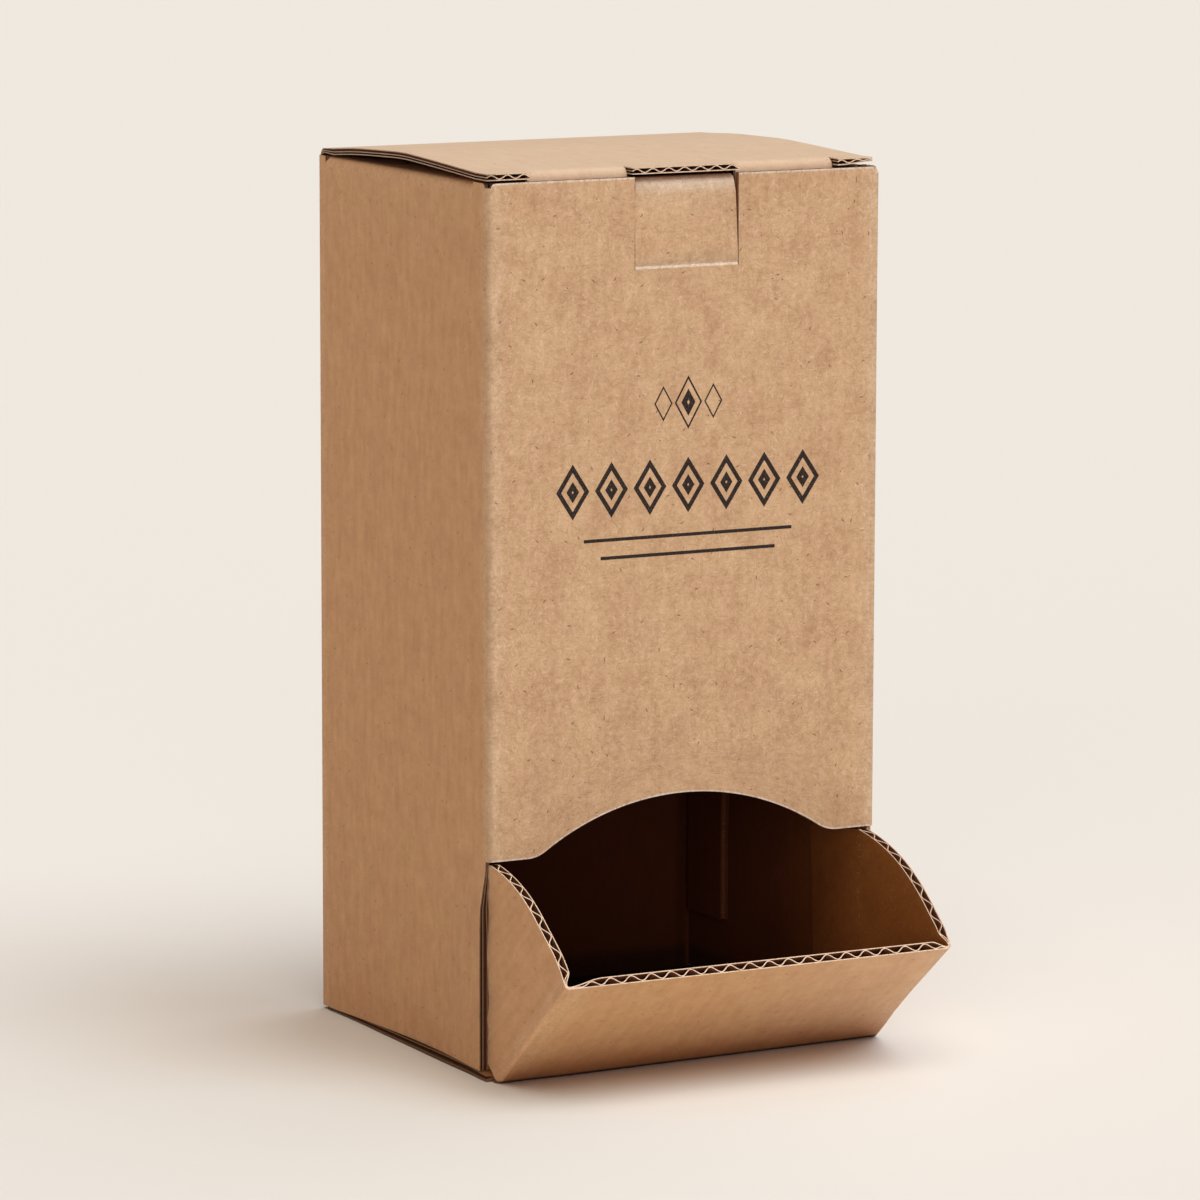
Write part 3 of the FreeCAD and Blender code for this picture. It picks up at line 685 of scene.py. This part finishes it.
def makeWalls():
    radius, caliper = board["foldRadius"], board["caliper"]
    roll = radius * quarterTurn
    dustFront = -halfDepth + caliper + walls["dustInset"][0]
    dustBack = halfDepth - caliper - walls["dustInset"][1]
    spans = [
        ("flap", walls["flapReach"] + caliper - radius), ("fold", roll),
        ("back", 2 * halfWidth - caliper - 2 * radius), ("fold", roll),
        ("left", halfDepth - radius - dustBack), ("left", dustBack - dustFront),
        ("left", dustFront + halfDepth - radius), ("fold", roll),
        ("front", walls["windowLeft"] + halfWidth - radius),
        ("front", walls["windowRight"] - walls["windowLeft"]),
        ("front", halfWidth - radius - walls["windowRight"]), ("fold", roll),
        ("right", dustFront + halfDepth - radius), ("right", dustBack - dustFront),
        ("right", halfDepth - dustBack),
    ]
    columns, at = ruleLines(spans, fluteStep, 8, -halfWidth + radius)
    levels = [level * mm for level in walls["levels"]]
    dustRadius = walls["dustRadius"]
    heights = [("wall", b - a) for a, b in zip(levels, levels[1:])]
    heights += [("fold", dustRadius * quarterTurn), ("dust", walls["dustReach"] - dustRadius)]
    rows = ruleLines(heights, far, 0, levels[0])[0]
    flapFoot, shoulder, window, flapTop, top = map(walls["levels"].index, (22.4, 70.4, 256.6, 280, 283.4))
    blank = layBlank("wallBoard", columns, rows)

    def dusty(column, last=0):
        left = (column >= at[5]) & (column < at[6] + last)
        return left | ((column >= at[13]) & (column < at[14] + last))

    def waste(column, row):
        flap = (column < at[1]) & ((row < flapFoot) | (row >= flapTop))
        mouth = (column >= at[7] - 1) & (column < at[12] + 1) & (row < shoulder)
        tabWindow = (column >= at[9]) & (column < at[10]) & (row >= window)
        return flap | mouth | tabWindow | ((row >= top) & ~dusty(column))

    cutAway(blank, waste)
    column, row, co = markOf(blank, "column"), markOf(blank, "row"), coordsOf(blank)
    dust = dusty(column, 1)
    backPanel = (column >= at[2]) & (column <= at[3])
    frontPanel = (column >= at[8]) & (column <= at[11])
    free = ~dust & ~backPanel  # these edges stand above the dust flaps' folds
    co[(row == top) & free, 1] = wallTop
    co[(row == top - 1) & free, 1] = wallTop - walls["rim"]
    for k in (0, 1):
        onArch = (row == shoulder + k) & frontPanel
        co[onArch, 1] = [archHeight(x) + k * walls["rim"] for x in co[onArch, 0]]
    co[(row == 0) & (column >= at[1]) & (column < at[4]), 1] = walls["backFoot"]
    for name, first, last, back in (("leftFoot", 4, 7, 4), ("rightFoot", 12, 15, 15)):
        foot = (row == 0) & (column >= at[first]) & (column <= at[last])
        co[foot, 1] = follow(walls[name], np.abs(co[foot, 0] - columns[at[back]][0]))
    for k, worn in zip((8, 11), walls["cornerRound"]):
        near = 1 - np.abs(co[:, 0] - columns[at[k]][0]) / worn
        corner = ((row == top) | (row == top - 1)) & (near > 0)
        co[corner, 1] -= worn * (1 - np.sqrt(1 - near[corner] ** 2)) * walls["cornerDrop"]
    setCoords(blank, co)

    co = coordsOf(blank)
    distance = np.full(len(co), far)
    for k in (1, 3, 7, 11):
        near = np.abs(co[:, 0] - columns[at[k]][0])
        if k > 3:  # a cut edge below the shoulder
            near += np.maximum(walls["shoulder"] - co[:, 1], 0) * walls["easing"] * (row < shoulder)
        distance = np.minimum(distance, near)
    distance[dust] = np.minimum(distance[dust], np.abs(co[dust, 1] - rows[top][0]))
    for crease in (radius, wallTop):
        distance[backPanel] = np.minimum(distance[backPanel], np.abs(co[backPanel, 1] - crease))
    left = caliperNear(distance, caliper, board["crushed"])
    # painted shade along the front left fold and beside the back left fold
    scoreShades = np.zeros(len(column))
    for line, strength in enumerate(walls["scoreShade"]):
        scoreShades[column == at[7] + line] = strength
    scoreShades[column == at[3] + 3] = walls["backScoreShade"]
    rim = ((row == shoulder) | (row == top)) & frontPanel
    piece = plyUp(blank, left, caliper, board["flutePitch"], scoreShades, rim)
    fold(piece, rows, "row", top, quarterTurn, dustRadius, 1)
    for k, towards in ((1, -1), (3, -1), (7, -1), (11, 1)):
        fold(piece, columns, "column", at[k], quarterTurn, radius, towards)
    standUp(piece)

    # The lower front corners flare, the left side leans out at the back, the right side at the front.
    co, column = coordsOf(piece), markOf(piece, "column")
    low = np.clip((walls["shoulder"] - co[:, 2]) / walls["shoulder"], 0, 1)
    back = (co[:, 1] + halfDepth) / (walls["flareLength"] * np.maximum(low, 0.02) ** 0.6)
    bow = walls["flare"] * smooth(low, 0.0, 0.25) * np.clip(1 - back, 0, 1) ** 1.2
    co[:, 0] += bow * (column >= at[12]) - bow * ((column >= at[4]) & (column <= at[7]))
    leaning = np.interp(co[:, 2], (0, wallTop), walls["leftSpread"])
    leaning *= np.clip(0.5 + co[:, 1] / (2 * halfDepth), 0, 1)
    co[:, 0] -= leaning * np.clip(-co[:, 0] / halfWidth, 0, 1)
    co[:, 0] += follow(walls["rightSpread"], co[:, 2]) * smooth(co[:, 0], *walls["spreadAcross"])
    co[co[:, 1] > 0, 1] *= walls["backShare"]
    setCoords(piece, co)
    giveThickness(piece)
    co = coordsOf(piece)
    high = co[:, 2] > walls["windowFoot"]  # no spikes where a dust flap ends
    outermost = halfWidth + walls["rightSpread"][-1][1] * mm
    co[high, 0] = np.clip(co[high, 0], -halfWidth - walls["leftSpread"][1], outermost)
    setCoords(piece, co)
    return piece


wallBoard = makeWalls()
print("walls folded")

tray = {
    "width": 137.0 * mm,
    "slope": math.radians(38.1),  # front of the tray above the table
    "reach": 66.62 * mm,  # foot of the slope to the lip
    "wingBow": (2.1 * mm, 1.2 * mm),  # how far the left and right wings stand out
    "wingLean": math.radians(1.57),
    "wingRadius": 80.0 * mm,  # curved edge of a wing
    "wingCentre": (-13.2 * mm, -2.6 * mm),  # (along the slope, square to it)
    "wingTop": [(54.7, 42.9), (70.8, 17.4)],  # (square, along) the straight top edge in mm
    "wingBack": [(0, 0), (9.5, -2), (25, -18), (70.8, 17.4)],
    "wingHeight": 70.2 * mm,
    "wingStart": 10 * mm,
    "backInset": 2.8 * mm,
    # In mm: (place from the back to the front, half width of the floor).
    "floorLeft": [(-62, 68.5), (-58.6, 68.5), (-58.5, 70.6), (-50, 71.9), (-28, 72), (-2, 71.8), (26, 71),
                  (55, 70.6), (60.4, 70), (62, 67.2)],
    "floorRight": [(-62, 67.2), (-58.6, 67.2), (-58.5, 69), (-44, 69.6), (-34, 70), (62, 70)],
    "footReach": [(-70, 6.1), (-45, 6.0), (68, 1.2)],  # (x, how far the foot stands forward) in mm
    "footSplay": 2.1 * mm,  # the right crease runs outwards at the table
    "footLeft": 1.8 * mm,  # and the left one
    "lipDrop": 1.9 * mm,
    "lipSpread": (0.75 * mm, 1.1 * mm),  # the lip's corners stand out
    "lipCrushed": 0.95 * mm,
    "lipPinch": 12.0 * mm,  # it stays pressed this far from its left corner
    "underWall": 0.1 * mm,  # room between the floor and the left panel
    "outside": (50 * mm, 60 * mm),  # bowed from here forwards
    "edgeReach": 25 * mm,  # and this far in from a crease
    "bowRise": 26 * mm,
    "slopeRise": 14 * mm,
    "splayDepth": (57 * mm, 61.4 * mm),
    "footDepth": (46 * mm, 61.4 * mm),
    "footRise": 30 * mm,
    "frontRise": 40 * mm,
    "floorPlaces": [-50, -42, -33, -20, 34, 39, 44, 50, 58.5, 58.6],
    "shares": [0, 0.05, 0.14, 0.27, 0.5, 0.72, 0.86, 0.94, 0.98, 1],
}


def makeTray():
    radius, caliper, slope = board["foldRadius"], board["caliper"], tray["slope"]
    foldWidth = board["hair"] * board["foldSteps"]
    wingTurn = quarterTurn + tray["wingLean"]
    wingTangent = radius * math.tan(wingTurn / 2)
    footTangent = radius * math.tan(slope / 2)
    flat = tray["width"] / 2 - wingTangent
    wing, wingFold = ("wing", tray["wingHeight"] - wingTangent), ("fold", radius * wingTurn)
    columns, at = ruleLines([wing, wingFold, ("slope", 2 * flat), wingFold, wing], fluteStep, 2, -flat)
    slopeLength = tray["reach"] - footTangent
    inner = [place * mm for place in tray["floorPlaces"]]
    floorLines = [-halfDepth + radius] + inner + [halfDepth - footTangent]  # from the back to the front
    spans = [("fold", radius * quarterTurn)]
    spans += [("floor", b - a) for a, b in zip(floorLines, floorLines[1:])]
    spans += [("fold", radius * slope)]
    spans += [("slope", slopeLength * (b - a)) for a, b in zip(tray["shares"], tray["shares"][1:])]
    rows, up = ruleLines(spans, far, 1, floorLines[0])
    floorRow, bend, foot = up[1], up[len(floorLines)], up[len(floorLines) + 1]
    blank = layBlank("trayBoard", columns, rows)

    def waste(column, row):
        besideFloor = (row < foot) & ((column < at[1]) | (column >= at[4]))
        besideFold = (row >= bend) & (row < foot) & ((column < at[2]) | (column >= at[3]))
        return besideFloor | besideFold

    cutAway(blank, waste)
    column, row, co = markOf(blank, "column"), markOf(blank, "row"), coordsOf(blank)
    sides = ((-1, at[2], at[1], tray["floorLeft"]), (1, at[3], at[4], tray["floorRight"]))
    for side, first, last, pairs in sides:
        share = np.clip((column - first) / (last - first), 0, 1)
        edge = np.where(row < floorRow, halfWidth - tray["backInset"], follow(pairs, -co[:, 1]))
        floor = (row <= bend) & (share > 0)
        co[floor, 0] = side * (flat + (edge - flat) * share)[floor]
    # the wings' outline, square to the slope from its edge
    square = np.maximum(np.abs(co[:, 0]) - flat - foldWidth, 0) + wingTangent
    wings = (row >= foot) & ((column <= at[1]) | (column >= at[4]))
    creases = (row >= foot) & ~wings & ((column < at[2]) | (column > at[3]))
    square[creases] = wingTangent * (np.abs(co[creases, 0]) - flat) / foldWidth
    centre = tray["wingCentre"]
    curved = centre[0] + np.sqrt(np.maximum(tray["wingRadius"] ** 2 - (square - centre[1]) ** 2, 0))
    (q1, s1), (q2, s2) = np.array(tray["wingTop"]) * mm
    top = np.where(square <= q1, curved, s1 + (s2 - s1) * (square - q1) / (q2 - q1))
    back = follow(tray["wingBack"], square)
    back += footTangent * np.clip(1 - square / tray["wingStart"], 0, 1)
    upSlope = np.array(tray["shares"])[np.clip(row - foot, 0, len(tray["shares"]) - 1)]
    outline = back + (top - back) * upSlope
    flaring = wings | creases
    co[flaring, 1] = rows[foot][0] - footTangent + outline[flaring]
    setCoords(blank, co)

    co = coordsOf(blank)
    crushed = board["crushed"]
    beside = np.abs(np.abs(co[:, 0]) - flat)
    beside[row < foot] = far
    beside[(co[:, 0] > -flat) & (co[:, 0] < 0)] *= board["crushedReach"] / tray["lipPinch"]
    atCrease = crushed + (tray["lipCrushed"] - crushed) * smooth(upSlope, 0.9, 1.0)
    side = caliperNear(beside, caliper, atCrease)
    room = tray["underWall"]  # the floor's left edge lies under the left panel
    pressed = np.clip(follow(walls["leftFoot"], co[:, 1] + halfDepth) - room, crushed - room, caliper)
    fromEdge = np.where((row < foot) & (co[:, 0] < 0), halfWidth + co[:, 0], far)
    side = np.minimum(side, caliperNear(np.maximum(fromEdge - caliper, 0), caliper, pressed))
    along = np.minimum(np.abs(co[:, 1] - rows[floorRow][0]), np.abs(co[:, 1] - rows[bend][0]))
    along[(row >= foot) & (np.abs(co[:, 0]) > flat)] = far
    left = np.minimum(side, caliperNear(along, caliper, crushed))
    # painted shade along the crease at the tray's foot, by the table
    scoreShades = np.interp(row - foot, (-3, 0, 1, 2), (0, 1, 0.6, 0)) * (column > at[2]) * (column < at[3])
    piece = plyUp(blank, left, caliper, board["flutePitch"], scoreShades)
    onSlope = markOf(piece, "row") >= foot
    fold(piece, columns, "column", at[1], wingTurn, radius, -1, onSlope)
    fold(piece, columns, "column", at[3], wingTurn, radius, 1, onSlope)
    fold(piece, rows, "row", bend, slope, radius, 1)
    fold(piece, rows, "row", 0, quarterTurn, radius, -1)
    pickAll(piece)
    turnPicked(math.pi, "X", (0, 0, 0))

    co = coordsOf(piece)
    before = -(co[:, 1] + halfDepth)
    along = before * math.cos(slope) + co[:, 2] * math.sin(slope)
    square = co[:, 2] * math.cos(slope) - before * math.sin(slope)
    high = np.clip(along / tray["reach"], 0, 1)
    low = 1 - smooth(square, 0, tray["frontRise"])
    nearSlope = 1 - smooth(square, 0, tray["slopeRise"])
    wingward = smooth(square, 0, tray["bowRise"])
    bowed = np.clip((np.abs(co[:, 0]) - flat) / tray["edgeReach"] + 1, 0, 1)
    bowed *= smooth(-co[:, 1], *tray["outside"])
    left, right = bowed * (co[:, 0] < 0), bowed * (co[:, 0] > 0)
    leftLip, rightLip = tray["lipSpread"]
    straight = 1 - smooth(along, tray["footRise"], tray["reach"])
    straight = np.maximum(straight, smooth(square, 0, tray["wingStart"]))
    splay = (1 - smooth(along, 0, tray["footRise"])) * smooth(-co[:, 1], *tray["splayDepth"]) * nearSlope
    atLip = smooth(high, 0.4, 1.0) * nearSlope
    footLeft = tray["footLeft"] * (1 - high) * (1 - wingward)
    co[:, 0] -= left * (tray["wingBow"][0] * wingward + leftLip * atLip + footLeft)
    co[:, 0] += right * (tray["wingBow"][1] * straight + rightLip * atLip + tray["footSplay"] * splay)
    forward = follow(tray["footReach"], co[:, 0]) * smooth(-co[:, 1], *tray["footDepth"])
    co[:, 1] -= forward * (1 - high) * low
    co[:, 2] -= tray["lipDrop"] * high * low
    setCoords(piece, co)
    giveThickness(piece)
    setCoords(piece, np.clip(coordsOf(piece), bodyLow, bodyHigh))
    return piece


trayBoard = makeTray()
print("tray folded")

lid = {
    "caliper": 2.2 * mm,
    "flutePitch": 5.7 * mm,
    "stepsPerFlute": 10,
    "top": 289.1 * mm,
    "tuckRadius": 3.0 * mm,
    "tuckStart": -55.2 * mm,  # where the tongues' fold begins
    "tongues": [(-54.2 * mm, -18.9 * mm), (20.1 * mm, 55.4 * mm)],
    "tongueDrop": 18.63 * mm,
    "tongueNeck": 1.6 * mm,  # straight part above the tongues' lean
    "tongueLean": math.radians(6.8),
    "cut": 0.3 * mm,
    "backRadius": 2.9 * mm,
    "hinge": (-67.4 * mm, 64.4 * mm),  # the back fold's ends
    "hingeFoot": 283.4 * mm,
    "flatFront": 8 * mm,  # the crown ends this far from the front
    "crownRows": 16,
    "crownLeft": 2.5 * mm,
    "crownRight": 1.5 * mm,
    "crownPeak": 0.53,  # share of the depth, from the back
    "crownShape": (0.75, 0.23),  # straight and rounded share of the crown
    "backSink": 0.7 * mm,  # the back fold sits a little lower
    "frayed": 0.9 * mm,  # the right ear is pressed thinner
    "frayedDepth": 20 * mm,
    "rightTrim": 1.6 * mm,  # the lid stops short of the right corner
    "crushed": 1.5 * mm,
}


def makeLid():
    step = lid["flutePitch"] / lid["stepsPerFlute"]
    (l1, l2), (r1, r2) = lid["tongues"]
    cut, (hingeLeft, hingeRight) = lid["cut"], lid["hinge"]
    edges = [-halfWidth, hingeLeft, l1 - cut, l1, l2, l2 + cut]
    edges += [r1 - cut, r1, r2, r2 + cut, hingeRight, halfWidth]
    columns, at = ruleLines([("lid", b - a) for a, b in zip(edges, edges[1:])], step, 0, -halfWidth)
    backStart = halfDepth - lid["backRadius"]
    flatEnd = -halfDepth + lid["flatFront"]
    crownRows = lid["crownRows"]
    spans = [("tongue", lid["tongueDrop"]), ("tongue", lid["tongueNeck"])]
    spans += [("fold", lid["tuckRadius"] * quarterTurn), ("lid", flatEnd - lid["tuckStart"])]
    spans += [("lid", (backStart - flatEnd) / crownRows)] * crownRows
    spans += [("fold", lid["backRadius"] * quarterTurn)]
    spans += [("strip", lid["top"] - lid["backRadius"] - lid["hingeFoot"])]
    rows, up = ruleLines(spans, far, 3, lid["tuckStart"])
    neckRow, tuckRow, lidRow = up[1:4]
    backRow, stripRow = up[crownRows + 4:crownRows + 6]
    blank = layBlank("lidBoard", columns, rows)

    def onTongue(column, last=0):
        left = (column >= at[3]) & (column < at[4] + last)
        return left | ((column >= at[7]) & (column < at[8] + last))

    def waste(column, row):
        slits = np.zeros(len(column), dtype=bool)
        for k in (2, 4, 6, 8):
            slits |= (column >= at[k]) & (column < at[k + 1])
        front = (row < tuckRow) & ~onTongue(column)
        offHinge = (row >= stripRow) & ((column < at[1]) | (column >= at[10]))
        return front | ((row < lidRow) & slits) | offHinge

    cutAway(blank, waste)
    column, row, co = markOf(blank, "column"), markOf(blank, "row"), coordsOf(blank)
    ears = (row <= lidRow) & (row >= tuckRow) & ~onTongue(column, 1)
    share = (row - tuckRow) / (lidRow - tuckRow)
    co[ears, 1] = (-halfDepth + (lid["tuckStart"] + halfDepth) * share)[ears]
    setCoords(blank, co)

    co = coordsOf(blank)
    tucked = np.abs(co[:, 1] - lid["tuckStart"])
    tucked[~onTongue(column, 1)] = far
    hinged = np.abs(co[:, 1] - rows[backRow][0])
    left = caliperNear(np.minimum(tucked, hinged), lid["caliper"], lid["crushed"])
    frayed = smooth(co[:, 0], r2, halfWidth)
    frayed *= 1 - smooth(co[:, 1], -halfDepth, -halfDepth + lid["frayedDepth"])
    left -= lid["frayed"] * frayed * (row >= tuckRow)
    piece = plyUp(blank, left, lid["caliper"], lid["flutePitch"], outside="kraftLid")
    column, row = markOf(piece, "column"), markOf(piece, "row")
    pickVertices(piece, row < neckRow)
    turnPicked(lid["tongueLean"], "X", (0, rows[neckRow][0], 0))
    fold(piece, rows, "row", tuckRow, quarterTurn, lid["tuckRadius"], -1, onTongue(column, 1))
    fold(piece, rows, "row", backRow, quarterTurn, lid["backRadius"], 1)
    pickAll(piece)
    movePicked((0, 0, lid["top"]))

    co = coordsOf(piece)
    depth = (backStart - co[:, 1]) / (backStart - flatEnd)
    slant = np.clip(np.minimum(depth / lid["crownPeak"], (1 - depth) / (1 - lid["crownPeak"])), 0, 1)
    across = (co[:, 0] + halfWidth) / (2 * halfWidth)
    crown = lid["crownLeft"] + (lid["crownRight"] - lid["crownLeft"]) * across
    straight, rounded = lid["crownShape"]
    co[:, 2] += crown * (slant * straight + np.sin(slant * quarterTurn) * rounded)
    onTop = smooth(co[:, 2], lid["hingeFoot"], lid["top"] - 1.5 * mm)
    co[:, 2] -= lid["backSink"] * (1 - smooth(depth, 0, 0.25)) * onTop
    beyond = np.clip((co[:, 0] - hingeRight) / (halfWidth - hingeRight), 0, 1)
    co[:, 0] -= lid["rightTrim"] * beyond * np.clip(0.15 + depth * 0.85, 0, 1)
    setCoords(piece, co)
    giveThickness(piece)
    return piece


lidBoard = makeLid()
print("lid folded")

tab = {
    "crease": 257.6 * mm,
    "foot": walls["windowFoot"],
    "radius": 3.0 * mm,
    "top": tabHigh.z,
    "lip": 5.5 * mm,
    "shoulder": 0.5 * mm,
    "lean": math.radians(2.35),
    "wedge": 0.4 * mm,  # the right cut gapes towards the top
    "wedgeRise": (260 * mm, 282 * mm),
    "ridgeHighlight": np.array([0.2, 0.55, 0.3, 0]),  # painted highlight along the crease's lit lower lip, mottled like frayed paper, row by row
    "hollowShade": 0.55,  # painted shade of the pressed groove above the crease
    "dip": 0.35 * mm,
    "dipReach": 0.9 * mm,
}


def makeTab():
    radius, caliper, crease, foot = tab["radius"], board["caliper"], tab["crease"], tab["foot"]
    columns = ruleLines([("tab", tabHigh.x - tabLow.x)], fluteStep, 0, tabLow.x)[0]
    bendStart = tab["top"] - radius
    levels = [foot, foot + 0.5 * mm, crease, crease + 0.5 * mm, crease + 1 * mm, 262 * mm, 272 * mm]
    levels += [bendStart - 2.7 * mm, bendStart]
    spans = [("tab", b - a) for a, b in zip(levels, levels[1:])]
    rows, up = ruleLines(spans + [("fold", radius * quarterTurn), ("lip", tab["lip"])], far, 0, foot)
    creaseRow, bend = levels.index(crease), up[len(levels) - 1]
    blank = layBlank("tabBoard", columns, rows)
    row, co = markOf(blank, "row"), coordsOf(blank)
    middle, half = (tabLow.x + tabHigh.x) / 2, (tabHigh.x - tabLow.x) / 2
    narrow = row >= bend
    co[narrow, 0] = middle + (co[narrow, 0] - middle) * (half - tab["shoulder"]) / half
    right = np.clip((co[:, 0] - middle) / half, 0, 1)
    co[:, 0] -= tab["wedge"] * right * smooth(co[:, 1], *tab["wedgeRise"])
    setCoords(blank, co)

    co = coordsOf(blank)
    distance = np.minimum(np.abs(co[:, 1] - crease) * 2, np.abs(co[:, 1] - bendStart))
    left = caliperNear(distance, caliper, board["crushed"])
    # painted highlight along the crease's lower lip, painted shade in the groove above it
    ridgeHighlight = tab["ridgeHighlight"][np.minimum(row, 3)]
    pressed = smooth(co[:, 0], tabLow.x + 4 * mm, tabLow.x + 14 * mm)
    hollowShade = tab["hollowShade"] * (row == creaseRow + 2) * pressed
    piece = plyUp(blank, left, caliper, board["flutePitch"], hollowShade, ridgeHighlight, "kraftTab")
    fold(piece, rows, "row", bend, quarterTurn, radius, 1)
    pickVertices(piece, markOf(piece, "row") > creaseRow)
    turnPicked(-tab["lean"], "X", (0, crease, -caliper / 2))
    standUp(piece)
    co = coordsOf(piece)
    co[:, 1] += tab["dip"] * (1 - smooth(np.abs(co[:, 2] - crease), 0, tab["dipReach"]))
    setCoords(piece, co)
    giveThickness(piece)
    return piece


tabBoard = makeTab()
print("press tab cut and bent")

for piece in (wallBoard, trayBoard):
    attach(piece, "box")
    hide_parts("box_body")
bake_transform(lidBoard)
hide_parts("lid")
tabLine = tab["crease"] + 1 * mm
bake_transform(tabBoard)
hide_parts("press_tab")
for piece in (wallBoard, trayBoard, lidBoard, tabBoard):
    print(piece.name, sum(len(face.vertices) - 2 for face in piece.data.polygons), "triangles")

studio = {
    "floorSize": 40.0,
    "floorBehind": 8.0,
    "floorTone": (0.757, 0.718, 0.668, 1),
    "lamps": [  # name, where from, strength, spread, tone
        ("key", (0.406, -0.406, 0.819), 1.12, 38, (0.861, 1.0, 1.139)),
        ("side", (0.641, 0.299, 0.707), 0.95, 60, (0.991, 1.0, 1.078)),
        ("overhead", (-0.048, -0.339, 0.940), 1.72, 54, (1.09, 1.0, 0.87)),
        ("fill", (-0.530, -0.842, 0.105), 0.82, 50, (1.284, 1.0, 0.922)),
    ],
    "skyTone": (1.0, 0.95, 0.9, 1),
    "skyStrength": 0.074,
}

deselectAll()
bpy.ops.mesh.primitive_plane_add(size=studio["floorSize"], location=(0, studio["floorBehind"], 0))
bpy.ops.object.transform_apply(location=True)
floor = bpy.context.object
floor.name = floor.data.name = "studioFloor"
floorFinish = bpy.data.materials.new("studioFloor")
floorFinish.use_nodes = True
floorShader = floorFinish.node_tree.nodes["Principled BSDF"]
for name, value in (("Base Color", studio["floorTone"]), ("Roughness", 1), ("Specular IOR Level", 0)):
    floorShader.inputs[name].default_value = value
floor.data.materials.append(floorFinish)

for name, source, strength, spread, tone in studio["lamps"]:
    deselectAll()
    bpy.ops.object.light_add(type="SUN", location=source)
    lamp = bpy.context.object
    lamp.name = lamp.data.name = name
    lamp.data.energy, lamp.data.angle, lamp.data.color = strength, math.radians(spread), tone
    lamp.rotation_euler = Vector(source).to_track_quat("Z", "Y").to_euler()
scene.world = scene.world or bpy.data.worlds.new("studio")
scene.world.use_nodes = True
sky = scene.world.node_tree.nodes["Background"]
sky.inputs["Color"].default_value = studio["skyTone"]
sky.inputs["Strength"].default_value = studio["skyStrength"]

camera = {
    "place": (-970.4 * mm, -1883.1 * mm, 467.1 * mm),
    "turn": math.radians(27.30),  # to the right of straight ahead
    "down": math.radians(8.74),
    "lens": 195.75,
    "sensor": 36,
    "farthest": 100,
}
aim = (quarterTurn - camera["down"], 0, -camera["turn"])
bpy.ops.object.camera_add(location=camera["place"], rotation=aim)
scene.camera = bpy.context.object
scene.camera.data.lens = camera["lens"]
scene.camera.data.sensor_width = camera["sensor"]
scene.camera.data.clip_end = camera["farthest"]
scene.view_settings.view_transform = "Standard"
print("studio set")
